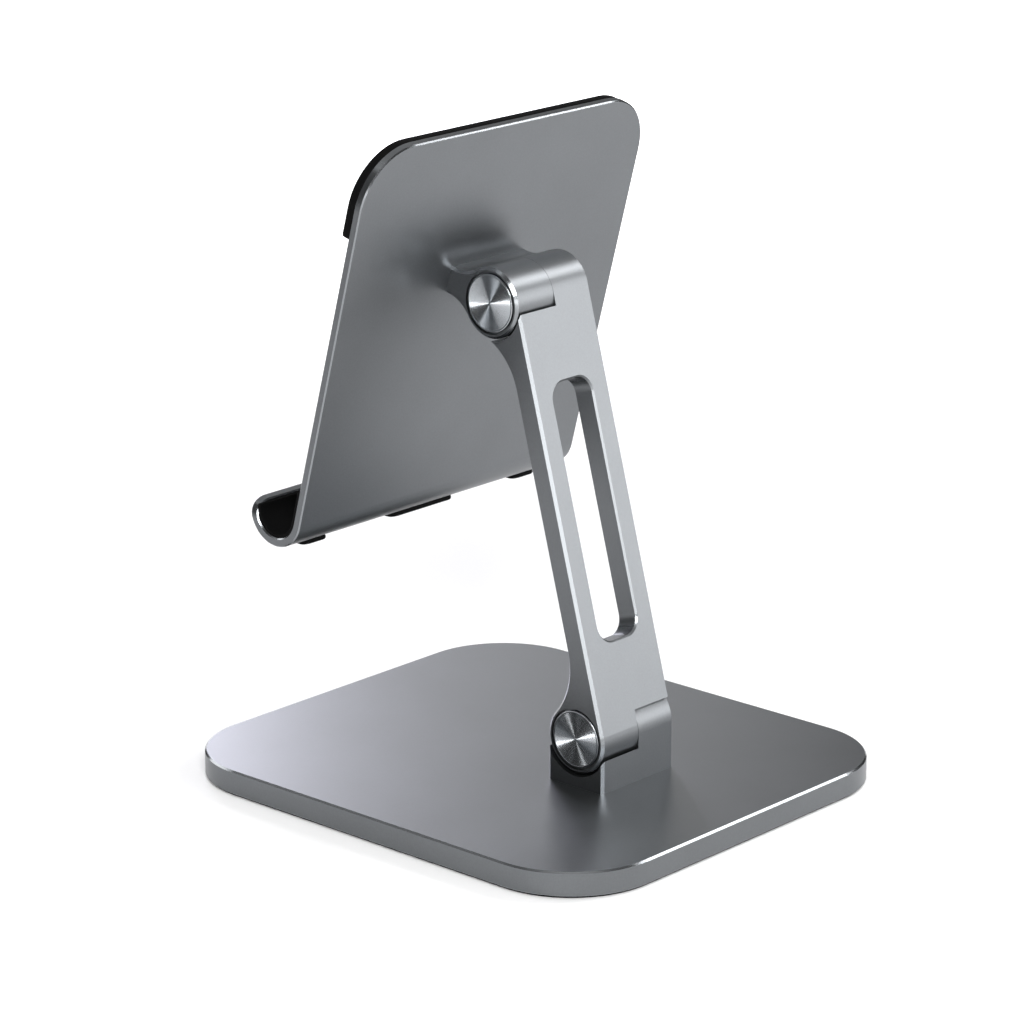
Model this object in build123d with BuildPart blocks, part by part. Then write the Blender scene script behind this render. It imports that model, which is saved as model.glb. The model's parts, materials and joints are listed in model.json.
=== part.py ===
from build123d import *
import os
from math import acos, cos, degrees, radians, sin, sqrt

# Folding desk stand: a round-cornered base, a slotted arm and a lipped tray on two friction hinges.
# Millimetres. The origin is the middle of the base's underside, +Z is up, the tray faces -Y,
# and both hinge axes run along X.

# Cosine above which a direction counts as parallel
ALONG = 0.999

# Base, and the countersinks of all the flat-headed screws
BASE_WIDTH = 140.0
BASE_DEPTH = 156.0
BASE_TOP = 7.5
BASE_CORNER = 27.0
BASE_CHAMFER = 0.5
BASE_LOWER_CHAMFER = 0.25
PAD_PROUD = 0.6
PAD_RECESS = 1.0
PAD_INSET = 0.8
PAD_EDGE = 0.15
COUNTERSINK_ANGLE = 90.0

# Hinges
LOWER_AXIS = (28.2, 21.3)
KNUCKLE_RADIUS = 10.0
SADDLE_RADIUS = 10.8
HINGE_HALF_WIDTH = 15.0
SPLIT_GAP = 0.12
RIM_CHAMFER = 0.75
EDGE_CHAMFER = 0.5
SEAT_CHAMFER = 0.25

# Hinge hardware, with distances along X from the split
BOLT_RADIUS = 3.0
BOLT_CLEARANCE = 0.2
BOLT_END = 13.2
BOLT_HEAD_RADIUS = 5.5
BOLT_HEAD_HEIGHT = 2.9
BOLT_SOCKET = 4.0
BOLT_SOCKET_DEPTH = 2.0
BUSH_RADIUS = 4.0
RUNNING_CLEARANCE = 0.05
FACE_CLEARANCE = 0.02
HEAD_BORE_RADIUS = 7.0
HEAD_BORE_FLOOR = 8.0
SPRING_RADIUS = 6.25
SPRING_COUNT = 3
SPRING_THICKNESS = 0.6
SPRING_CONE = 0.2
NUT_SIZE = 10.0
NUT_CLEARANCE = 0.1
NUT_THICKNESS = 5.0
NUT_FLOOR = 8.0
WASHER_RADIUS = 8.5
WASHER_SEAT = 0.5
WASHER_SEAT_CLEARANCE = 0.1
CAP_RADIUS = 8.2
CAP_RECESS_RADIUS = 8.8
CAP_RECESS_FLOOR = 13.8
CAP_EDGE = 0.2

# Post block and its fasteners
POST_SCREW_X = -7.5
POST_SCREW_SPACING = 10.0
POST_SCREW_RADIUS = 2.5
POST_SCREW_HEAD_RADIUS = 4.6
POST_SCREW_TOP = 15.0
POST_SCREW_SOCKET = 3.0
POST_SCREW_SOCKET_DEPTH = 1.8
DOWEL_X = 8.0
DOWEL_SPACING = 12.0
DOWEL_RADIUS = 1.5
DOWEL_BOTTOM = 4.5
DOWEL_TOP = 9.3

# Arm
ARM_LENGTH = 122.4
ARM_LEAN = 15.0
ARM_THICKNESS = 7.0
ARM_FLARE = 20.0
SLOT_WIDTH = 16.0
SLOT_END = 24.8
SLOT_CORNER = 5.0

# Head bracket
BRACKET_FOOT = 8.0
BRACKET_FLARE = 12.0
BRACKET_SCREW_XS = (-11.0, -4.0, 4.0, 11.0)
BRACKET_SCREW_RADIUS = 1.5
BRACKET_SCREW_HEAD_RADIUS = 2.9
BRACKET_SCREW_LENGTH = 6.0
BRACKET_SCREW_SOCKET = 2.0
BRACKET_SCREW_SOCKET_DEPTH = 1.2

# Tray, measured from the upper axis: back and forward are square to the plate, up and down along it
TRAY_LEAN = 15.0
TRAY_WIDTH = 113.6
TRAY_THICKNESS = 2.5
TRAY_OFFSET = 15.7
TRAY_TOP = 44.6
TRAY_CORNER = 17.0
TRAY_CHAMFER = 0.35
CURL_RADIUS = 9.7
CURL_DROP = 67.6
LIP_CORNER = 5.0

# Rubber on the tray
PAD_THICKNESS = 2.6
PAD_MARGIN = 0.2
PAD_TOP_MARGIN = 0.2
PAD_SIDE_END = 18.6
TONGUE_HALF_WIDTH = 24.0
TONGUE_END = -12.0
TONGUE_CORNER = 8.0
PAD_END_CORNER = 1.0
PAD_SOFT_EDGE = 0.5
LINER_THICKNESS = 1.0
LINER_MARGIN = 0.4
LINER_RISE = 10.0
LINER_TOP_ANGLE = 4.0
BUMPER_THICKNESS = 1.4
BUMPER_FIRST_ANGLE = -93.0
BUMPER_SWEEP = 34.0
BUMPER_CORNER = 2.5
BUMPER_SOFT_EDGE = 0.4
BUMPER_ENDS = {"left": (-48.0, -38.5), "middle": (-12.8, 12.8), "right": (38.5, 48.0)}

SPLIT = SPLIT_GAP / 2
SPRING_START = HEAD_BORE_FLOOR + FACE_CLEARANCE
SPRING_PITCH = SPRING_THICKNESS + SPRING_CONE
BOLT_HEAD_BACK = SPRING_START + SPRING_COUNT * SPRING_PITCH
BOLT_HEAD_FRONT = BOLT_HEAD_BACK + BOLT_HEAD_HEIGHT
POST_Y, LOWER_AXIS_Z = LOWER_AXIS
UPPER_AXIS = (
    POST_Y - ARM_LENGTH * sin(radians(ARM_LEAN)),
    LOWER_AXIS_Z + ARM_LENGTH * cos(radians(ARM_LEAN)),
)
TRAY_FRONT = TRAY_OFFSET + TRAY_THICKNESS
X_DIR = Vector(1, 0, 0)


def side_plane(axis, lean, x=0.0):
    """Plane square to X at a hinge axis: local x points to the rear, local y up along the member."""
    return Plane(
        origin=(x, axis[0], axis[1]),
        x_dir=(0, cos(radians(lean)), sin(radians(lean))),
        z_dir=(1, 0, 0),
    )


def face_plane(side):
    """Plane along a member's broad face: local x is +X, local y up along it, local z forward."""
    return Plane(origin=side.origin, x_dir=(1, 0, 0), z_dir=side.x_dir * -1)


def runs_along(edge, direction):
    """Whether a straight edge, or an arc's first end, points along a direction."""
    return abs(edge.tangent_at(0).dot(direction)) > ALONG


def save(piece, name):
    """Label a finished piece and write it to its own file."""
    piece.part.label = name
    export_step(piece.part, f"parts/{name}.step")


os.makedirs("parts", exist_ok=True)

lower_level = side_plane(LOWER_AXIS, 0)
lower_arm = side_plane(LOWER_AXIS, ARM_LEAN)
upper_arm = side_plane(UPPER_AXIS, ARM_LEAN)
upper_tray = side_plane(UPPER_AXIS, -TRAY_LEAN)
arm_face = face_plane(lower_arm)
tray_face = face_plane(upper_tray)

# Base plate: rounded rectangle with a shallow recess for the pad, drilled and countersunk from below
with BuildPart() as base_plate:
    with BuildSketch(Plane.XY.offset(PAD_PROUD)):
        RectangleRounded(BASE_WIDTH, BASE_DEPTH, BASE_CORNER)
    extrude(amount=BASE_TOP - PAD_PROUD)
    chamfer(base_plate.faces().sort_by(Axis.Z)[-1].edges(), BASE_CHAMFER)
    chamfer(base_plate.faces().sort_by(Axis.Z)[0].edges(), BASE_LOWER_CHAMFER)
    with BuildSketch(Plane.XY.offset(PAD_PROUD)):
        RectangleRounded(BASE_WIDTH - 2 * PAD_INSET, BASE_DEPTH - 2 * PAD_INSET, BASE_CORNER - PAD_INSET)
    extrude(amount=PAD_RECESS, mode=Mode.SUBTRACT)
    with Locations(Plane.XY.offset(PAD_PROUD + PAD_RECESS) * Rotation(180, 0, 0)):
        with Locations((POST_SCREW_X, -POST_Y)):
            with GridLocations(1, POST_SCREW_SPACING, 1, 2):
                CounterSinkHole(POST_SCREW_RADIUS, POST_SCREW_HEAD_RADIUS, BASE_TOP, COUNTERSINK_ANGLE)
    with BuildSketch(Plane.XY.offset(DOWEL_BOTTOM)):
        with Locations((DOWEL_X, POST_Y)):
            with GridLocations(1, DOWEL_SPACING, 1, 2):
                Circle(DOWEL_RADIUS)
    extrude(amount=BASE_TOP - DOWEL_BOTTOM, mode=Mode.SUBTRACT)
save(base_plate, "base_plate")

# Base pad: silicone sheet in the recess, standing a little proud of the plate
with BuildPart() as base_pad:
    with BuildSketch(Plane.XY):
        RectangleRounded(BASE_WIDTH - 2 * PAD_INSET, BASE_DEPTH - 2 * PAD_INSET, BASE_CORNER - PAD_INSET)
    extrude(amount=PAD_PROUD + PAD_RECESS)
    chamfer(base_pad.faces().sort_by(Axis.Z)[0].edges(), PAD_EDGE)
save(base_pad, "base_pad")

# Countersunk screws and plain dowels that hold the post block on the base plate
with BuildPart() as post_screws:
    with Locations((POST_SCREW_X, POST_Y)):
        with GridLocations(1, POST_SCREW_SPACING, 1, 2):
            with Locations((0, 0, PAD_PROUD + PAD_RECESS)):
                Cylinder(
                    POST_SCREW_RADIUS,
                    POST_SCREW_TOP - PAD_PROUD - PAD_RECESS,
                    align=(Align.CENTER, Align.CENTER, Align.MIN),
                )
                Cone(
                    POST_SCREW_HEAD_RADIUS,
                    POST_SCREW_RADIUS,
                    POST_SCREW_HEAD_RADIUS - POST_SCREW_RADIUS,
                    align=(Align.CENTER, Align.CENTER, Align.MIN),
                )
    with BuildSketch(Plane.XY.offset(PAD_PROUD + PAD_RECESS)):
        with Locations((POST_SCREW_X, POST_Y)):
            with GridLocations(1, POST_SCREW_SPACING, 1, 2):
                RegularPolygon(POST_SCREW_SOCKET / 2, 6, major_radius=False)
    extrude(amount=POST_SCREW_SOCKET_DEPTH, mode=Mode.SUBTRACT)
save(post_screws, "post_screws")

with BuildPart() as post_dowels:
    with BuildSketch(Plane.XY.offset(DOWEL_BOTTOM)):
        with Locations((DOWEL_X, POST_Y)):
            with GridLocations(1, DOWEL_SPACING, 1, 2):
                Circle(DOWEL_RADIUS)
    extrude(amount=DOWEL_TOP - DOWEL_BOTTOM)
save(post_dowels, "post_dowels")


def cut_round(side, radius, start, end):
    """Cut a round hole or seat about a hinge axis, between two distances along X."""
    with BuildSketch(side.offset(start)) as section:
        Circle(radius)
    extrude(section.sketch, amount=end - start, mode=Mode.SUBTRACT)


def clear_other_half(piece, side, toward):
    """Open the half of a hinge where the other member's knuckle turns: toward is 1 at +X, -1 at -X."""
    cut_round(side, SADDLE_RADIUS, -toward * SPLIT, toward * (HINGE_HALF_WIDTH + 1))
    lips = piece.edges(Select.LAST).filter_by(lambda edge: runs_along(edge, X_DIR))
    chamfer(lips, SEAT_CHAMFER)


def cut_head_side(side):
    """Bore a +X knuckle for the washer, the bush, the springs, the bolt's head and the end cap."""
    cut_round(side, WASHER_RADIUS + WASHER_SEAT_CLEARANCE, 0, SPLIT + WASHER_SEAT)
    cut_round(side, BUSH_RADIUS, 0, HEAD_BORE_FLOOR)
    cut_round(side, HEAD_BORE_RADIUS, HEAD_BORE_FLOOR, CAP_RECESS_FLOOR)
    cut_round(side, CAP_RECESS_RADIUS, CAP_RECESS_FLOOR, HINGE_HALF_WIDTH)


def cut_nut_side(side):
    """Bore a -X knuckle for the bolt, its nut and the end cap."""
    cut_round(side, BOLT_RADIUS + BOLT_CLEARANCE, 0, -NUT_FLOOR)
    with BuildSketch(side.offset(-NUT_FLOOR)) as pocket:
        RegularPolygon(NUT_SIZE / 2 + NUT_CLEARANCE, 6, major_radius=False)
    extrude(pocket.sketch, amount=NUT_FLOOR - CAP_RECESS_FLOOR, mode=Mode.SUBTRACT)
    cut_round(side, CAP_RECESS_RADIUS, -CAP_RECESS_FLOOR, -HINGE_HALF_WIDTH)


# Post block: one solid block, round-topped at -X and scooped out at +X for the arm's knuckle
with BuildPart() as post_block:
    with BuildSketch(lower_level):
        Circle(KNUCKLE_RADIUS)
    extrude(amount=HINGE_HALF_WIDTH, both=True)
    chamfer(post_block.edges().filter_by(GeomType.CIRCLE), RIM_CHAMFER)
    with BuildSketch(Plane.XY.offset(BASE_TOP)) as footprint:
        with Locations((0, POST_Y)):
            Rectangle(2 * HINGE_HALF_WIDTH, 2 * KNUCKLE_RADIUS)
        chamfer(footprint.vertices(), RIM_CHAMFER)
    extrude(amount=LOWER_AXIS_Z - BASE_TOP)
    clear_other_half(post_block, lower_level, 1)
    cut_nut_side(lower_level)
    with BuildSketch(Plane.XY.offset(BASE_TOP)):
        with Locations((POST_SCREW_X, POST_Y)):
            with GridLocations(1, POST_SCREW_SPACING, 1, 2):
                Circle(POST_SCREW_RADIUS)
    extrude(amount=POST_SCREW_TOP - BASE_TOP, mode=Mode.SUBTRACT)
    with BuildSketch(Plane.XY.offset(BASE_TOP)):
        with Locations((DOWEL_X, POST_Y)):
            with GridLocations(1, DOWEL_SPACING, 1, 2):
                Circle(DOWEL_RADIUS)
    extrude(amount=DOWEL_TOP - BASE_TOP, mode=Mode.SUBTRACT)
save(post_block, "post_block")

# Arm: flat bar behind the line of the axes, flared forward into a knuckle at each end
front = KNUCKLE_RADIUS - ARM_THICKNESS
flare_centre = front - ARM_FLARE
flare_reach = sqrt((KNUCKLE_RADIUS + ARM_FLARE) ** 2 - flare_centre**2)
flare_angle = degrees(acos(-flare_centre / (KNUCKLE_RADIUS + ARM_FLARE)))
with BuildPart() as arm:
    with BuildSketch(lower_arm):
        with BuildLine():
            Line((KNUCKLE_RADIUS, 0), (KNUCKLE_RADIUS, ARM_LENGTH))
            CenterArc((0, ARM_LENGTH), KNUCKLE_RADIUS, 0, 180 + flare_angle)
            CenterArc((flare_centre, ARM_LENGTH - flare_reach), ARM_FLARE, 0, flare_angle)
            Line((front, ARM_LENGTH - flare_reach), (front, flare_reach))
            CenterArc((flare_centre, flare_reach), ARM_FLARE, -flare_angle, flare_angle)
            CenterArc((0, 0), KNUCKLE_RADIUS, 180 - flare_angle, 180 + flare_angle)
        make_face()
    extrude(amount=HINGE_HALF_WIDTH, both=True)
    ends = arm.faces().filter_by(Axis.X)
    chamfer(ends.edges(), RIM_CHAMFER)
    clear_other_half(arm, lower_arm, -1)
    clear_other_half(arm, upper_arm, 1)
    cut_head_side(lower_arm)
    cut_nut_side(upper_arm)
    with BuildSketch(arm_face.offset(-KNUCKLE_RADIUS)):
        with Locations((0, ARM_LENGTH / 2)):
            RectangleRounded(SLOT_WIDTH, ARM_LENGTH - 2 * SLOT_END, SLOT_CORNER)
    extrude(amount=ARM_THICKNESS, mode=Mode.SUBTRACT)
    rims = arm.edges(Select.LAST).filter_by(lambda edge: not runs_along(edge, lower_arm.x_dir))
    chamfer(rims, EDGE_CHAMFER)
save(arm, "arm")

# Head bracket: knuckle at +X, seat for the arm's knuckle at -X, narrow foot on the tray's back
flare_height = BRACKET_FOOT / 2 + BRACKET_FLARE
bracket_reach = sqrt((KNUCKLE_RADIUS + BRACKET_FLARE) ** 2 - flare_height**2)
bracket_angle = degrees(acos(flare_height / (KNUCKLE_RADIUS + BRACKET_FLARE)))
with BuildPart() as head_bracket:
    with BuildSketch(upper_tray):
        with BuildLine():
            Line((-TRAY_OFFSET, -BRACKET_FOOT / 2), (-TRAY_OFFSET, BRACKET_FOOT / 2))
            Line((-TRAY_OFFSET, BRACKET_FOOT / 2), (-bracket_reach, BRACKET_FOOT / 2))
            CenterArc((-bracket_reach, flare_height), BRACKET_FLARE, -90, bracket_angle)
            CenterArc((0, 0), KNUCKLE_RADIUS, 90 + bracket_angle, -180 - 2 * bracket_angle)
            CenterArc((-bracket_reach, -flare_height), BRACKET_FLARE, 90, -bracket_angle)
            Line((-bracket_reach, -BRACKET_FOOT / 2), (-TRAY_OFFSET, -BRACKET_FOOT / 2))
        make_face()
    extrude(amount=HINGE_HALF_WIDTH, both=True)
    side_edges = head_bracket.faces().filter_by(Axis.X).edges()
    chamfer(side_edges.filter_by(lambda edge: not runs_along(edge, upper_tray.y_dir)), RIM_CHAMFER)
    clear_other_half(head_bracket, upper_tray, -1)
    cut_head_side(upper_tray)
    with BuildSketch(tray_face.offset(TRAY_OFFSET)):
        with Locations(*[(x, 0) for x in BRACKET_SCREW_XS]):
            Circle(BRACKET_SCREW_RADIUS)
    extrude(amount=TRAY_THICKNESS - BRACKET_SCREW_LENGTH, mode=Mode.SUBTRACT)
save(head_bracket, "head_bracket")

with BuildPart() as bracket_screws:
    with BuildSketch(tray_face.offset(TRAY_FRONT)):
        with Locations(*[(x, 0) for x in BRACKET_SCREW_XS]):
            Circle(BRACKET_SCREW_HEAD_RADIUS)
    extrude(amount=BRACKET_SCREW_RADIUS - BRACKET_SCREW_HEAD_RADIUS, taper=COUNTERSINK_ANGLE / 2)
    with BuildSketch(tray_face.offset(TRAY_FRONT)):
        with Locations(*[(x, 0) for x in BRACKET_SCREW_XS]):
            Circle(BRACKET_SCREW_RADIUS)
    extrude(amount=-BRACKET_SCREW_LENGTH)
    with BuildSketch(tray_face.offset(TRAY_FRONT)):
        with Locations(*[(x, 0) for x in BRACKET_SCREW_XS]):
            RegularPolygon(BRACKET_SCREW_SOCKET / 2, 6, major_radius=False)
    extrude(amount=-BRACKET_SCREW_SOCKET_DEPTH, mode=Mode.SUBTRACT)
save(bracket_screws, "bracket_screws")

# Tray: one plate whose lower end curls forward into a half-round lip
curl_centre = (-TRAY_OFFSET - CURL_RADIUS, -CURL_DROP)
curl_inner = CURL_RADIUS - TRAY_THICKNESS
with BuildPart() as tray:
    with BuildSketch(upper_tray):
        with BuildLine():
            Line((-TRAY_OFFSET, TRAY_TOP), (-TRAY_OFFSET, -CURL_DROP))
            CenterArc(curl_centre, CURL_RADIUS, 0, -180)
            Line((-TRAY_OFFSET - 2 * CURL_RADIUS, -CURL_DROP), (curl_centre[0] - curl_inner, -CURL_DROP))
            CenterArc(curl_centre, curl_inner, 180, 180)
            Line((-TRAY_FRONT, -CURL_DROP), (-TRAY_FRONT, TRAY_TOP))
            Line((-TRAY_FRONT, TRAY_TOP), (-TRAY_OFFSET, TRAY_TOP))
        make_face()
    extrude(amount=TRAY_WIDTH / 2, both=True)
    corners = tray.edges().filter_by(lambda edge: runs_along(edge, upper_tray.x_dir))
    fillet(corners.sort_by(Axis.Z)[-2:], TRAY_CORNER)
    fillet(corners.sort_by(Axis.Y)[:2], LIP_CORNER)
    rim = tray.faces().filter_by(Axis.X).edges()
    chamfer(rim.filter_by(lambda edge: not runs_along(edge, upper_tray.x_dir)), TRAY_CHAMFER)
    with BuildSketch(tray_face.offset(TRAY_OFFSET)):
        with Locations(*[(x, 0) for x in BRACKET_SCREW_XS]):
            Circle(BRACKET_SCREW_RADIUS)
    extrude(amount=TRAY_THICKNESS, mode=Mode.SUBTRACT)
    with BuildSketch(tray_face.offset(TRAY_FRONT)):
        with Locations(*[(x, 0) for x in BRACKET_SCREW_XS]):
            Circle(BRACKET_SCREW_HEAD_RADIUS)
    extrude(
        amount=BRACKET_SCREW_RADIUS - BRACKET_SCREW_HEAD_RADIUS,
        taper=COUNTERSINK_ANGLE / 2,
        mode=Mode.SUBTRACT,
    )
save(tray, "tray")

# Front pad: a band round the tray's top with a tongue that covers the bracket's screws
pad_half = TRAY_WIDTH / 2 - PAD_MARGIN
pad_top = TRAY_TOP - PAD_TOP_MARGIN
with BuildPart() as tray_pad:
    with BuildSketch(tray_face.offset(TRAY_FRONT)) as outline:
        with Locations((0, (pad_top + PAD_SIDE_END) / 2)):
            Rectangle(2 * pad_half, pad_top - PAD_SIDE_END)
        with Locations((0, (PAD_SIDE_END + TONGUE_END) / 2)):
            Rectangle(2 * TONGUE_HALF_WIDTH, PAD_SIDE_END - TONGUE_END)
        fillet(outline.vertices().sort_by(Axis.Y)[-2:], TRAY_CORNER)
        fillet(outline.vertices().sort_by(Axis.Y)[:2], TONGUE_CORNER)
        inner_corners = outline.vertices().filter_by_position(Axis.X, -TONGUE_HALF_WIDTH, TONGUE_HALF_WIDTH)
        fillet(inner_corners.filter_by_position(Axis.Y, PAD_SIDE_END, PAD_SIDE_END), TONGUE_CORNER)
        outer_corners = outline.vertices().filter_by_position(Axis.Y, PAD_SIDE_END, PAD_SIDE_END)
        fillet(outer_corners.sort_by(Axis.X)[:1] + outer_corners.sort_by(Axis.X)[-1:], PAD_END_CORNER)
    extrude(amount=PAD_THICKNESS)
    chamfer(tray_pad.faces().sort_by(Axis.Y)[0].edges(), PAD_SOFT_EDGE)
save(tray_pad, "tray_pad")

# Lip liner: thin rubber bent round the inside of the curl and up the plate
liner_outer = curl_inner
liner_inner = curl_inner - LINER_THICKNESS
liner_face = -TRAY_FRONT - LINER_THICKNESS
with BuildPart() as lip_liner:
    with BuildSketch(upper_tray):
        with BuildLine():
            Line((-TRAY_FRONT, LINER_RISE - CURL_DROP), (-TRAY_FRONT, -CURL_DROP))
            CenterArc(curl_centre, liner_outer, 0, -180 + LINER_TOP_ANGLE)
            Line(
                curl_centre + Vector(liner_outer, 0).rotate(Axis.Z, -180 + LINER_TOP_ANGLE),
                curl_centre + Vector(liner_inner, 0).rotate(Axis.Z, -180 + LINER_TOP_ANGLE),
            )
            CenterArc(curl_centre, liner_inner, -180 + LINER_TOP_ANGLE, 180 - LINER_TOP_ANGLE)
            Line((liner_face, -CURL_DROP), (liner_face, LINER_RISE - CURL_DROP))
            Line((liner_face, LINER_RISE - CURL_DROP), (-TRAY_FRONT, LINER_RISE - CURL_DROP))
        make_face()
    extrude(amount=TRAY_WIDTH / 2 - LINER_MARGIN, both=True)
save(lip_liner, "lip_liner")

# Bumpers: three rubber strips under the curl
bumper_radius = CURL_RADIUS + BUMPER_THICKNESS
for place, (left, right) in BUMPER_ENDS.items():
    with BuildPart() as bumper:
        with BuildSketch(upper_tray.offset(left)):
            with BuildLine():
                inner = CenterArc(curl_centre, CURL_RADIUS, BUMPER_FIRST_ANGLE, BUMPER_SWEEP)
                outer = CenterArc(curl_centre, bumper_radius, BUMPER_FIRST_ANGLE, BUMPER_SWEEP)
                Line(inner @ 0, outer @ 0)
                Line(inner @ 1, outer @ 1)
            make_face()
        extrude(amount=right - left)
        corners = bumper.edges().filter_by(GeomType.LINE).filter_by(lambda edge: not runs_along(edge, X_DIR))
        fillet(corners, BUMPER_CORNER)
        chamfer(bumper.faces().sort_by(Axis.Z)[0].edges(), BUMPER_SOFT_EDGE)
    save(bumper, f"bumper_{place}")


def hinge_hardware(name, side, nut_side):
    """Bolt, springs, bush, washer, nut and end caps of one hinge; the nut is square to its own knuckle."""

    with BuildPart() as bolt:
        with BuildSketch(side.offset(-BOLT_END)):
            Circle(BOLT_RADIUS)
        extrude(amount=BOLT_END + BOLT_HEAD_BACK)
        with BuildSketch(side.offset(BOLT_HEAD_BACK)):
            Circle(BOLT_HEAD_RADIUS)
        extrude(amount=BOLT_HEAD_FRONT - BOLT_HEAD_BACK)
        chamfer(bolt.faces().sort_by(Axis.X)[-1].edges(), EDGE_CHAMFER)
        chamfer(bolt.faces().sort_by(Axis.X)[0].edges(), EDGE_CHAMFER)
        with BuildSketch(side.offset(BOLT_HEAD_FRONT)):
            RegularPolygon(BOLT_SOCKET / 2, 6, major_radius=False)
        extrude(amount=-BOLT_SOCKET_DEPTH, mode=Mode.SUBTRACT)
    save(bolt, f"{name}_pivot_bolt")

    with BuildPart() as nut:
        with BuildSketch(nut_side.offset(-NUT_FLOOR)):
            RegularPolygon(NUT_SIZE / 2, 6, major_radius=False)
            Circle(BOLT_RADIUS, mode=Mode.SUBTRACT)
        extrude(amount=-NUT_THICKNESS)
    save(nut, f"{name}_pivot_nut")

    with BuildPart() as bush:
        with BuildSketch(side.offset(SPLIT + WASHER_SEAT)):
            Circle(BUSH_RADIUS)
            Circle(BOLT_RADIUS + RUNNING_CLEARANCE, mode=Mode.SUBTRACT)
        extrude(amount=HEAD_BORE_FLOOR - SPLIT - WASHER_SEAT)
    save(bush, f"{name}_bush")

    with BuildPart() as washer:
        with BuildSketch(side.offset(FACE_CLEARANCE - SPLIT)):
            Circle(WASHER_RADIUS)
            Circle(BOLT_RADIUS + BOLT_CLEARANCE, mode=Mode.SUBTRACT)
        extrude(amount=SPLIT_GAP + WASHER_SEAT - FACE_CLEARANCE)
    save(washer, f"{name}_friction_washer")

    with BuildPart() as springs:
        with BuildSketch(Plane(origin=side.origin, x_dir=(1, 0, 0), z_dir=side.x_dir)):
            for index in range(SPRING_COUNT):
                start = SPRING_START + index * SPRING_PITCH
                tilt = SPRING_CONE if index % 2 else 0.0
                with BuildLine():
                    Polyline(
                        (start + SPRING_CONE - tilt, BOLT_RADIUS + BOLT_CLEARANCE),
                        (start + tilt, SPRING_RADIUS),
                        (start + tilt + SPRING_THICKNESS, SPRING_RADIUS),
                        (start + SPRING_CONE - tilt + SPRING_THICKNESS, BOLT_RADIUS + BOLT_CLEARANCE),
                        close=True,
                    )
                make_face()
        revolve(axis=Axis(side.origin, (1, 0, 0)))
    save(springs, f"{name}_disc_springs")

    for hand, sign in (("right", 1), ("left", -1)):
        with BuildPart() as cap:
            with BuildSketch(side.offset(sign * CAP_RECESS_FLOOR)):
                Circle(CAP_RADIUS)
            extrude(amount=sign * (HINGE_HALF_WIDTH - CAP_RECESS_FLOOR))
            outside = cap.faces().sort_by(Axis.X)[-1 if sign > 0 else 0]
            chamfer(outside.edges(), CAP_EDGE)
        save(cap, f"{name}_cap_{hand}")


hinge_hardware("lower", lower_arm, lower_level)
hinge_hardware("upper", upper_tray, upper_arm)
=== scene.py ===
import json
from math import cos, pi, radians, sin

import bmesh
import bpy
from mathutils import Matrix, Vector

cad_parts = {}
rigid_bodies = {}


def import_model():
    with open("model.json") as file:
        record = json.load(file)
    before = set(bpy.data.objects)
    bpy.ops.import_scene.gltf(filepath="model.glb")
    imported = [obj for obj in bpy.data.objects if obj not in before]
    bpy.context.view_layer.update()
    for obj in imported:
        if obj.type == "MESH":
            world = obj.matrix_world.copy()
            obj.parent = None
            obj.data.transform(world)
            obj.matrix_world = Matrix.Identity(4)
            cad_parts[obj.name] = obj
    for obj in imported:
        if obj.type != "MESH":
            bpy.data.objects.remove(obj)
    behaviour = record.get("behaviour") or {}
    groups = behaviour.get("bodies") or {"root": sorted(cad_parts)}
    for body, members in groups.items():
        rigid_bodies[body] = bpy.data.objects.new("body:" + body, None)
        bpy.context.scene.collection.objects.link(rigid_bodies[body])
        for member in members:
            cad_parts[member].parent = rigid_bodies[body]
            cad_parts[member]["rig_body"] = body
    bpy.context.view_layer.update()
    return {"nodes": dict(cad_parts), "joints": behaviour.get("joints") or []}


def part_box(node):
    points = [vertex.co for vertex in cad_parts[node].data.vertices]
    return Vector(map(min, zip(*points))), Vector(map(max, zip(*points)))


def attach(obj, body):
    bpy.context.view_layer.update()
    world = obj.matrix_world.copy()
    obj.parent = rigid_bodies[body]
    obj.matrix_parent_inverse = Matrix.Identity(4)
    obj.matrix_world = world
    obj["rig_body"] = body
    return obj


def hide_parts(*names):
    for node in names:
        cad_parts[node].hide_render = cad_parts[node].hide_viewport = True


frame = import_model()
nodes = frame["nodes"]

# Pieces are modelled in millimetres, and scaled to metres when they are finished
MM = 0.001
UPPER_HINGE = Vector(frame["joints"][1]["pos_m"]) / MM
BUMPER_NODES = ("bumper_left", "bumper_middle", "bumper_right")
FASTENER_NODES = ("post_screws", "post_dowels", "bracket_screws")
HINGE_STEEL = ("pivot_bolt", "pivot_nut", "disc_springs")
HINGE_PLASTIC = ("bush", "friction_washer")

# The tray's frame: square to the plate towards its back, and up along the plate
TRAY_LEAN = radians(15)
TRAY_BACK = Vector((0, cos(TRAY_LEAN), -sin(TRAY_LEAN)))
TRAY_UP = Vector((0, sin(TRAY_LEAN), cos(TRAY_LEAN)))
TRAY_FRONT = 18.2
TRAY_HALF_WIDTH = 56.8
TRAY_TOP = 44.6
CURL_DROP = 67.6
CURL_INNER_RADIUS = 7.2
CURL_CENTRE_BACK = -25.4

# Rubber mouldings
PAD_THICKNESS = 2.6
PAD_MARGIN = 0.2
PAD_BAND_END = 18.6
PAD_CORNER = 17
PAD_END_CORNER = 1
PAD_SOFT_EDGE = 0.4
TONGUE_HALF_WIDTH = 24
TONGUE_END = -12
TONGUE_CORNER = 8
LINER_THICKNESS = 1
LINER_MARGIN = 0.4
LINER_RISE = 10
LINER_SWEEP = radians(176)
LINER_SOFT_EDGE = 0.3
BASE_PAD_CORNER = 26.2
BASE_PAD_SOFT_EDGE = 0.15
GROOVE_MARGIN = 5
GROOVE_WIDTH = 1.6
PAD_GROOVE_DEPTH = 0.3
BUMPER_SOFT_EDGE = 0.25

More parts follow.
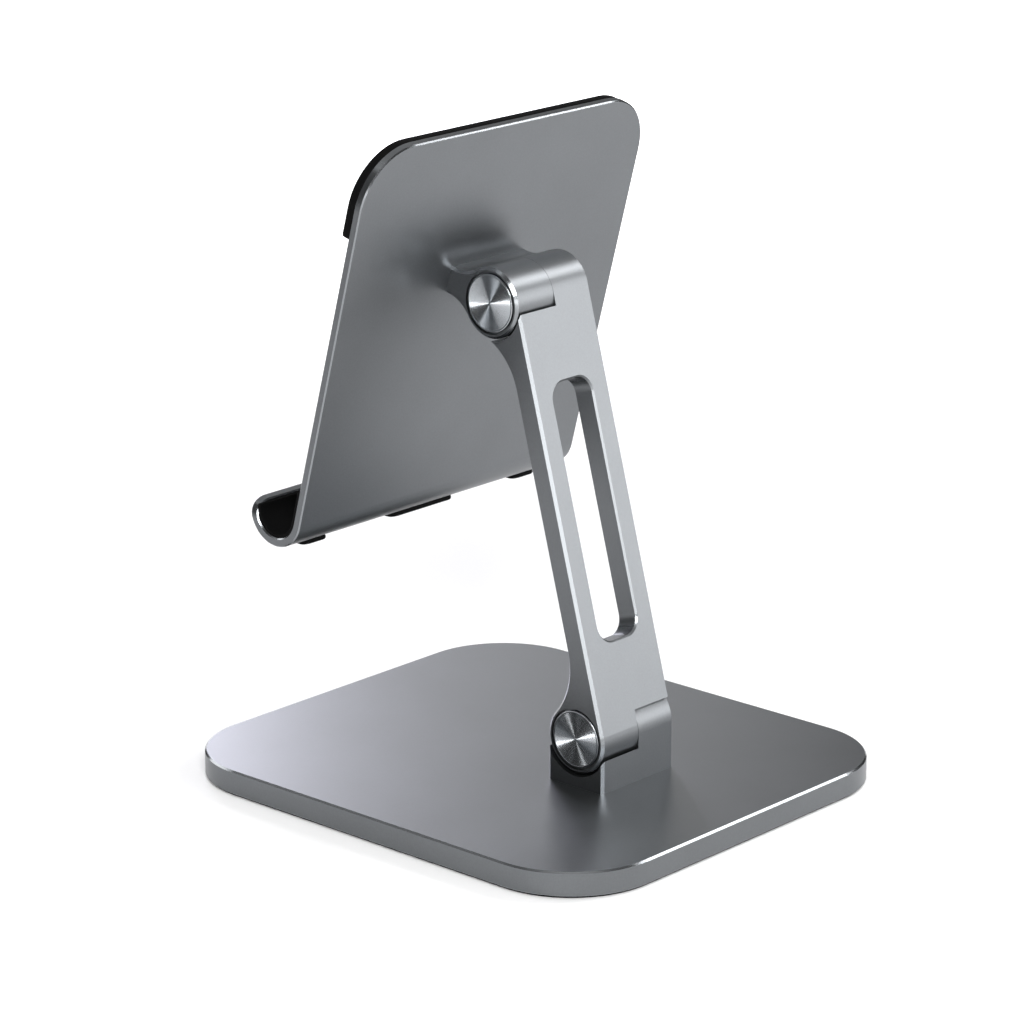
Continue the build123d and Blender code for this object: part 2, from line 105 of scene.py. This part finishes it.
# Turned caps
CAP_RIM = 0.2
CAP_LAND = 0.35
GROOVE_PITCH = 0.25
GROOVE_DEPTH = 0.08

# How finely round stretches are cut
CAP_SIDES = 96
CAP_RIM_STEPS = 2
CORNER_STEPS = 14
BASE_PAD_CORNER_STEPS = 24
CURL_STEPS = 40
SOFT_EDGE_STEPS = 3

# Angles in degrees: edges sharper than SHARP are rounded, and the mesh is smooth below the others
SHARP = 40
BUMPER_SHARP = 35
CAP_SMOOTH = 65
MOULDING_SMOOTH = 30
BUMPER_SMOOTH = 34
FLAT_WITHIN = 1

# Chamfers lie at 45 degrees, and the tray's plate has them above this distance below the upper hinge
CHAMFER_SLOPE = sin(pi / 4)
CHAMFER_SHARPNESS = 6.0
PLATE_DROP = 50

# The room, in metres: the floor lies just below the base, and its glow fades in away from the stand
FLOOR_SIZE = 12.0
FLOOR_GAP = 0.0002
FADE_START = 0.35
FADE_WIDTH = 0.6
AMBIENT = 0.075

# A face whose normal is this far along a direction lies square to it
FLAT = 0.999

# Places closer than NEAR count as the same, and vertices closer than TINY are merged
NEAR = 0.01
TINY = 0.001


# ------------------------------------------------------------ writing finishes

class Signal:
    """A shader socket that takes part in Python arithmetic, one Math node for each operation."""

    def __init__(self, tree, socket):
        self.tree = tree
        self.socket = socket

    def math(self, operation, *values):
        node = self.tree.nodes.new("ShaderNodeMath")
        node.operation = operation
        for socket, value in zip(node.inputs, values):
            feed(socket, value)
        return Signal(self.tree, node.outputs[0])

    def __add__(self, other):
        return self.math("ADD", self, other)

    __radd__ = __add__

    def __sub__(self, other):
        return self.math("SUBTRACT", self, other)

    def __rsub__(self, other):
        return self.math("SUBTRACT", other, self)

    def __mul__(self, other):
        return self.math("MULTIPLY", self, other)

    __rmul__ = __mul__

    def __abs__(self):
        return self.math("ABSOLUTE", self)

    def or_more(self, other):
        return self.math("MAXIMUM", self, other)

    def above(self, level):
        return self.math("GREATER_THAN", self, level)


def feed(socket, value):
    """Link a signal to a socket, or set a plain value on it."""
    if isinstance(value, Signal):
        value.tree.links.new(value.socket, socket)
    else:
        socket.default_value = value


class Finish:
    """A surface finish: its nodes all end in one Principled shader."""

    def __init__(self, name):
        self.material = bpy.data.materials.new(name)
        self.material.use_nodes = True
        self.tree = self.material.node_tree
        self.shader = self.tree.nodes["Principled BSDF"]

    def surface(self, sockets):
        for name, value in sockets.items():
            feed(self.shader.inputs[name], value)

    def node(self, kind, output, settings, sockets):
        made = self.tree.nodes.new("ShaderNode" + kind)
        for name, value in settings.items():
            setattr(made, name, value)
        for name, value in sockets.items():
            feed(made.inputs[name], value)
        return Signal(self.tree, made.outputs[output])

    def place(self):
        return self.node("TexCoord", "Object", {}, {})

    def noise(self, size, detail=2.0):
        """Cloudy variation with blobs of about that size in metres, from 0 to 1."""
        return self.node("TexNoise", 0, {}, {"Vector": self.place(), "Scale": 1 / size, "Detail": detail})

    def blend(self, factor, first, second):
        return self.node("Mix", 2, {"data_type": "RGBA"}, {0: factor, 6: first, 7: second})

    def relief(self, height, depth):
        """A normal bumped by a height of 0 to 1 that stands for that depth in metres."""
        return self.node("Bump", 0, {}, {"Height": height, "Distance": depth})


def grey(level, blue=0.0):
    """A near-neutral colour, cooler as blue goes up."""
    return (level * (1 - blue), level, level * (1 + blue), 1.0)


def tinted(level):
    """The faintly blue grey of the dyed aluminium."""
    return grey(level, 0.045)


def window(finish, direction):
    """1 where a surface lies at 45 degrees to a direction, as a chamfer does, and 0 elsewhere."""
    normal = finish.node("TexCoord", "Normal", {}, {})
    slope = finish.node("VectorMath", "Value", {"operation": "DOT_PRODUCT"}, {0: normal, 1: direction})
    return (1 - abs(abs(slope) - CHAMFER_SLOPE) * CHAMFER_SHARPNESS).or_more(0)


def blasted_aluminium(name, chamfer_from, plate_from=None):
    """Bead-blasted and anodised, with the chamfers cut bright afterwards.

    chamfer_from is the direction that the chamfers slope away from. On the tray, those of the flat
    plate slope away from its back as well, above the height plate_from.
    """
    finish = Finish(name)
    clouds = finish.noise(0.030, 3.0)
    grain = finish.noise(0.00045, 2.0)
    bright = window(finish, chamfer_from)
    if plate_from is not None:
        level = finish.node("SeparateXYZ", "Z", {}, {0: finish.place()})
        bright = bright.or_more(window(finish, TRAY_BACK) * level.above(plate_from))
    satin = finish.blend(0.5 * clouds + 0.5 * grain, tinted(0.135), tinted(0.205))
    finish.surface({
        "Metallic": 1.0,
        "Base Color": finish.blend(bright, satin, tinted(0.26)),
        "Roughness": (0.32 + 0.03 * clouds + 0.06 * grain) * (1 - bright) + 0.20 * bright,
        "Normal": finish.relief(grain * (1 - bright), 0.000012),
    })
    return finish.material


def spun_aluminium():
    """Turned on a lathe, then anodised lightly: the grooves are in the mesh."""
    finish = Finish("spun_aluminium")
    grain = finish.noise(0.0008, 2.0)
    finish.surface({
        "Metallic": 1.0,
        "Base Color": finish.blend(grain, tinted(0.36), tinted(0.42)),
        "Roughness": 0.17 + 0.05 * grain,
    })
    return finish.material


def moulded_rubber():
    """Matt black silicone rubber with a fine mould grain."""
    finish = Finish("moulded_rubber")
    grain = finish.noise(0.0004, 3.0)
    clouds = finish.noise(0.012, 3.0)
    finish.surface({
        "Base Color": finish.blend(clouds, grey(0.0016, 0.02), grey(0.0030, 0.02)),
        "Roughness": 0.62 + 0.14 * grain,
        "Specular IOR Level": 0.06,
        "Normal": finish.relief(grain, 0.00002),
    })
    return finish.material


def plated_steel():
    """Zinc-plated steel with faint tool marks."""
    finish = Finish("plated_steel")
    clouds = finish.noise(0.004, 3.0)
    finish.surface({
        "Metallic": 1.0,
        "Base Color": finish.blend(clouds, grey(0.42, 0.01), grey(0.52, 0.01)),
        "Roughness": 0.28 + 0.12 * clouds,
    })
    return finish.material


def bearing_plastic():
    """Black acetal for the bushes and washers."""
    finish = Finish("bearing_plastic")
    grain = finish.noise(0.0008, 2.0)
    finish.surface({
        "Base Color": finish.blend(grain, grey(0.015), grey(0.025)),
        "Roughness": 0.38 + 0.10 * grain,
    })
    return finish.material


def paint(names, material):
    """Give machined pieces their finish."""
    for name in names:
        nodes[name].data.materials.clear()
        nodes[name].data.materials.append(material)


# ------------------------------------------------------------------ making pieces

def start(name):
    """Tidy up after adding a primitive: name it and put its place in its mesh."""
    piece = bpy.context.object
    piece.name = name
    bpy.ops.object.transform_apply(location=True, rotation=True, scale=True)
    return piece


def edit():
    bpy.ops.object.mode_set(mode="EDIT")


def merge():
    bpy.ops.mesh.select_all(action="SELECT")
    bpy.ops.mesh.remove_doubles(threshold=TINY)


def face_outwards():
    bpy.ops.mesh.select_all(action="SELECT")
    bpy.ops.mesh.normals_make_consistent(inside=False)


def done(smooth_below):
    """Leave edit mode, with the mesh smooth across edges below that angle."""
    merge()
    bpy.ops.object.mode_set(mode="OBJECT")
    bpy.ops.object.shade_smooth_by_angle(angle=radians(smooth_below))


def pick(kind, test):
    """Select only the faces, edges or verts that pass a test."""
    mode = {"faces": "FACE", "edges": "EDGE", "verts": "VERT"}[kind]
    bpy.ops.mesh.select_mode(type=mode)
    bpy.ops.mesh.select_all(action="DESELECT")
    data = bpy.context.object.data
    mesh = bmesh.from_edit_mesh(data)
    for item in getattr(mesh, kind):
        if test(item):
            item.select_set(True)
    mesh.select_flush_mode()
    bmesh.update_edit_mesh(data)


def resize(piece, scale):
    piece.scale = (scale, scale, scale)
    bpy.ops.object.transform_apply(location=True, rotation=True, scale=True)


def size(node):
    """Lowest and highest corner of a CAD node, in millimetres."""
    low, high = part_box(node)
    return low / MM, high / MM


def fit(piece, node, material):
    """Bring a finished piece to metres, with its material, in the place of its CAD node."""
    resize(piece, MM)
    piece.data.materials.append(material)
    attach(piece, nodes[node]["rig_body"])
    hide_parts(node)


def on_tray(x, back, up):
    """A point measured from the upper hinge in the tray's frame."""
    return UPPER_HINGE + Vector((x, 0, 0)) + TRAY_BACK * back + TRAY_UP * up


def height(point):
    """How far a point lies above the upper hinge, along the tray's plate."""
    return (point - UPPER_HINGE).dot(TRAY_UP)


def turned_cap(node, material):
    """A disc faced on a lathe: bevelled rim, a plain land, then concentric grooves to the middle."""
    low, high = size(node)
    middle = (low + high) / 2
    side = 1 if middle.x > 0 else -1
    radius = (high.y - low.y) / 2
    bpy.ops.mesh.primitive_cylinder_add(
        vertices=CAP_SIDES, radius=radius, depth=high.x - low.x,
        location=middle, rotation=(0, pi / 2, 0),
    )
    cap = start(node + "_turned")
    edit()
    pick("faces", lambda face: face.normal.x * side > FLAT)
    bpy.ops.mesh.region_to_loop()
    bpy.ops.mesh.bevel(offset=CAP_RIM, segments=CAP_RIM_STEPS)
    pick("faces", lambda face: face.normal.x * side > FLAT)
    bpy.ops.mesh.inset(thickness=CAP_LAND)
    grooved = radius - CAP_RIM - CAP_LAND
    for _ in range(int(grooved / GROOVE_PITCH) - 1):
        for step in (-1, -1, 1, 1):
            bpy.ops.mesh.inset(thickness=GROOVE_PITCH / 4, depth=step * GROOVE_DEPTH / 2)
    done(CAP_SMOOTH)
    fit(cap, node, material)


def soft_edges(width, sharper_than=SHARP):
    """Round a moulding's edges that turn by more than an angle in degrees."""
    pick("edges", lambda edge: edge.is_manifold and edge.calc_face_angle() > radians(sharper_than))
    bpy.ops.mesh.bevel(offset=width, segments=SOFT_EDGE_STEPS)


def round_corner(x, across, radius, where):
    """Round the corners of a flat outline at plus and minus x; where measures a vertex across it."""
    pick("verts", lambda vert: abs(abs(vert.co.x) - x) < NEAR and abs(where(vert.co) - across) < NEAR)
    bpy.ops.mesh.bevel(affect="VERTICES", offset=radius, segments=CORNER_STEPS)


def tray_pad(material):
    """A sheet cut to a band round the tray's top with a tongue over the bracket's screws."""
    low_edge = PAD_BAND_END
    top_edge = TRAY_TOP - PAD_MARGIN
    half = TRAY_HALF_WIDTH - PAD_MARGIN
    bpy.ops.mesh.primitive_plane_add(
        size=1, location=on_tray(0, -TRAY_FRONT, (low_edge + top_edge) / 2),
        rotation=(pi / 2 - TRAY_LEAN, 0, 0),
    )
    bpy.context.object.scale = (2 * half, top_edge - low_edge, 1)
    pad = start("tray_pad_moulded")
    edit()
    for x in (-TONGUE_HALF_WIDTH, TONGUE_HALF_WIDTH):
        bpy.ops.mesh.select_all(action="SELECT")
        bpy.ops.mesh.bisect(plane_co=(x, 0, 0), plane_no=(1, 0, 0))
    pick("edges", lambda edge: all(abs(height(vert.co) - low_edge) < NEAR for vert in edge.verts)
         and abs(edge.verts[0].co.x + edge.verts[1].co.x) < NEAR)
    bpy.ops.mesh.extrude_region_move(TRANSFORM_OT_translate={"value": TRAY_UP * (TONGUE_END - low_edge)})
    bpy.ops.mesh.select_all(action="SELECT")
    bpy.ops.mesh.dissolve_faces()
    round_corner(half, top_edge, PAD_CORNER, height)
    round_corner(half, low_edge, PAD_END_CORNER, height)
    round_corner(TONGUE_HALF_WIDTH, low_edge, TONGUE_CORNER, height)
    round_corner(TONGUE_HALF_WIDTH, TONGUE_END, TONGUE_CORNER, height)
    bpy.ops.mesh.select_all(action="SELECT")
    bpy.ops.mesh.extrude_region_move(TRANSFORM_OT_translate={"value": -TRAY_BACK * PAD_THICKNESS})
    face_outwards()
    soft_edges(PAD_SOFT_EDGE)
    done(MOULDING_SMOOTH)
    fit(pad, "tray_pad", material)


def lip_liner(material):
    """A strip that runs down the plate and round the inside of the curl."""
    bpy.ops.mesh.primitive_plane_add(
        size=1, location=on_tray(0, -TRAY_FRONT - LINER_THICKNESS / 2, LINER_RISE - CURL_DROP),
        rotation=(-TRAY_LEAN, 0, 0),
    )
    bpy.context.object.scale = (2 * (TRAY_HALF_WIDTH - LINER_MARGIN), LINER_THICKNESS, 1)
    liner = start("lip_liner_moulded")
    edit()
    bpy.ops.mesh.select_all(action="SELECT")
    bpy.ops.mesh.extrude_region_move(TRANSFORM_OT_translate={"value": TRAY_UP * -LINER_RISE})
    bpy.ops.mesh.spin(
        steps=CURL_STEPS, angle=LINER_SWEEP, center=on_tray(0, CURL_CENTRE_BACK, -CURL_DROP), axis=(1, 0, 0),
    )
    merge()
    face_outwards()
    soft_edges(LINER_SOFT_EDGE)
    done(MOULDING_SMOOTH)
    fit(liner, "lip_liner", material)


def base_pad(material):
    """The sheet under the base: rounded, soft-edged, with a groove set in from its rim."""
    low, high = size("base_pad")
    half_width, half_depth = high.x, high.y
    bpy.ops.mesh.primitive_plane_add(size=1, location=(0, 0, high.z), rotation=(pi, 0, 0))
    bpy.context.object.scale = (2 * half_width, 2 * half_depth, 1)
    pad = start("base_pad_moulded")
    edit()
    pick("verts", lambda vert: True)
    bpy.ops.mesh.bevel(affect="VERTICES", offset=BASE_PAD_CORNER, segments=BASE_PAD_CORNER_STEPS)
    bpy.ops.mesh.select_all(action="SELECT")
    bpy.ops.mesh.extrude_region_move(TRANSFORM_OT_translate={"value": (0, 0, low.z - high.z)})
    face_outwards()
    soft_edges(BASE_PAD_SOFT_EDGE)
    pick("faces", lambda face: face.normal.z < -FLAT)
    bpy.ops.mesh.inset(thickness=GROOVE_MARGIN)
    bpy.ops.mesh.inset(thickness=GROOVE_WIDTH / 4, depth=-PAD_GROOVE_DEPTH)
    bpy.ops.mesh.inset(thickness=GROOVE_WIDTH / 2)
    bpy.ops.mesh.inset(thickness=GROOVE_WIDTH / 4, depth=PAD_GROOVE_DEPTH)
    done(MOULDING_SMOOTH)
    fit(pad, "base_pad", material)


def bumper(node, material):
    """A short strip under the curl, softened from the machined outline by rounding its edges."""
    bpy.ops.object.select_all(action="DESELECT")
    strip = nodes[node].copy()
    strip.data = nodes[node].data.copy()
    strip.parent = None
    bpy.context.scene.collection.objects.link(strip)
    bpy.context.view_layer.objects.active = strip
    strip.select_set(True)
    strip.name = node + "_moulded"
    for key in list(strip.keys()):
        del strip[key]
    strip.data.materials.clear()
    resize(strip, 1 / MM)
    edit()
    merge()
    bpy.ops.mesh.dissolve_limited(angle_limit=radians(FLAT_WITHIN))
    soft_edges(BUMPER_SOFT_EDGE, BUMPER_SHARP)
    done(BUMPER_SMOOTH)
    fit(strip, node, material)


# -------------------------------------------------------------------- the room

def look_at(thing, place, target):
    """Put a lamp or camera somewhere, facing a point."""
    thing.location = place
    thing.rotation_euler = (Vector(target) - Vector(place)).to_track_quat("-Z", "Y").to_euler()


def softbox(name, place, target, width, depth, power, colour=(1, 1, 1)):
    """A rectangular lamp that the camera doesn't see, in metres and watts."""
    lamp = bpy.data.lights.new(name, "AREA")
    lamp.shape = "RECTANGLE"
    lamp.size = width
    lamp.size_y = depth
    lamp.energy = power
    lamp.color = colour
    thing = bpy.data.objects.new(name, lamp)
    bpy.context.scene.collection.objects.link(thing)
    look_at(thing, place, target)
    thing.visible_camera = False


def floor():
    """White paper that stays white to the camera far away, where the lamps no longer reach it."""
    bpy.ops.mesh.primitive_plane_add(size=FLOOR_SIZE, location=(0, 0, -FLOOR_GAP))
    sheet = bpy.context.object
    sheet.name = "floor"
    finish = Finish("white_paper")
    fibres = finish.noise(0.002, 3.0)
    distance = finish.node("VectorMath", "Value", {"operation": "LENGTH"}, {0: finish.place()})
    far = ((distance - FADE_START) * (1 / FADE_WIDTH)).or_more(0)
    seen = finish.node("LightPath", "Is Camera Ray", {}, {})
    finish.surface({
        "Base Color": finish.blend(fibres, grey(0.96), grey(0.985)),
        "Roughness": 0.9,
        "Specular IOR Level": 0.1,
        "Emission Color": finish.blend(far * seen, grey(0), grey(1)),
        "Emission Strength": 1.0,
    })
    sheet.data.materials.append(finish.material)


def studio():
    """Softboxes round the stand in a dim room that looks white to the camera."""
    world = bpy.data.worlds.new("studio")
    world.use_nodes = True
    sky = world.node_tree.nodes["Background"].inputs
    seen = Signal(world.node_tree, world.node_tree.nodes.new("ShaderNodeLightPath").outputs["Is Camera Ray"])
    feed(sky["Color"], (1, 1, 1, 1))
    feed(sky["Strength"], AMBIENT + seen * (1 - AMBIENT))
    bpy.context.scene.world = world
    bpy.context.scene.view_settings.view_transform = "Standard"
    middle = (0, 0, 0.08)
    softbox("overhead", (-0.5, -0.45, 1.9), (-0.5, -0.45, 0), 3.2, 3.2, 19.5)
    softbox("key", (-1.1, 0.5, 1.05), middle, 0.5, 0.5, 7.7)
    softbox("horizon", (-1.2, 1.2, 0.40), middle, 0.8, 0.8, 10.0)
    softbox("rear", (-0.1, 1.7, 0.45), middle, 0.8, 0.8, 9.0)
    softbox("far_mid", (-1.15, -1.15, 0.55), middle, 0.6, 0.6, 1.3)
    softbox("far_left", (-0.85, -1.4, 0.55), middle, 0.5, 0.6, 8.8, (0.97, 0.95, 1.08))
    softbox("front", (0.3, -1.6, 0.75), middle, 0.8, 0.8, 6)
    softbox("fill", (1.2, 1.1, 1.1), middle, 0.8, 0.8, 34)
    softbox("low_front", (1.25, 1.15, 0.21), middle, 0.42, 0.36, 2.3)
    softbox("side", (1.5, 0.5, 0.11), middle, 0.28, 0.18, 1.6)


def camera():
    lens = bpy.data.cameras.new("camera")
    lens.lens = 142.9
    lens.sensor_width = 36
    thing = bpy.data.objects.new("camera", lens)
    bpy.context.scene.collection.objects.link(thing)
    look_at(thing, (0.8075, 0.7194, 0.4084), (0.0098, 0, 0.0798))
    bpy.context.scene.camera = thing


# ------------------------------------------------------------------ putting it together

paint(("post_block", "arm", "head_bracket"), blasted_aluminium("blasted_aluminium", (1, 0, 0)))
paint(("base_plate",), blasted_aluminium("blasted_base", (0, 0, 1)))
paint(("tray",), blasted_aluminium("blasted_tray", (1, 0, 0), (UPPER_HINGE.z - PLATE_DROP) * MM))
steel = plated_steel()
plastic = bearing_plastic()
paint(FASTENER_NODES, steel)
spun = spun_aluminium()
rubber = moulded_rubber()
for hinge in ("lower", "upper"):
    paint([f"{hinge}_{part}" for part in HINGE_STEEL], steel)
    paint([f"{hinge}_{part}" for part in HINGE_PLASTIC], plastic)
    for hand in ("left", "right"):
        turned_cap(f"{hinge}_cap_{hand}", spun)
tray_pad(rubber)
lip_liner(rubber)
base_pad(rubber)
for node in BUMPER_NODES:
    bumper(node, rubber)
floor()
studio()
camera()
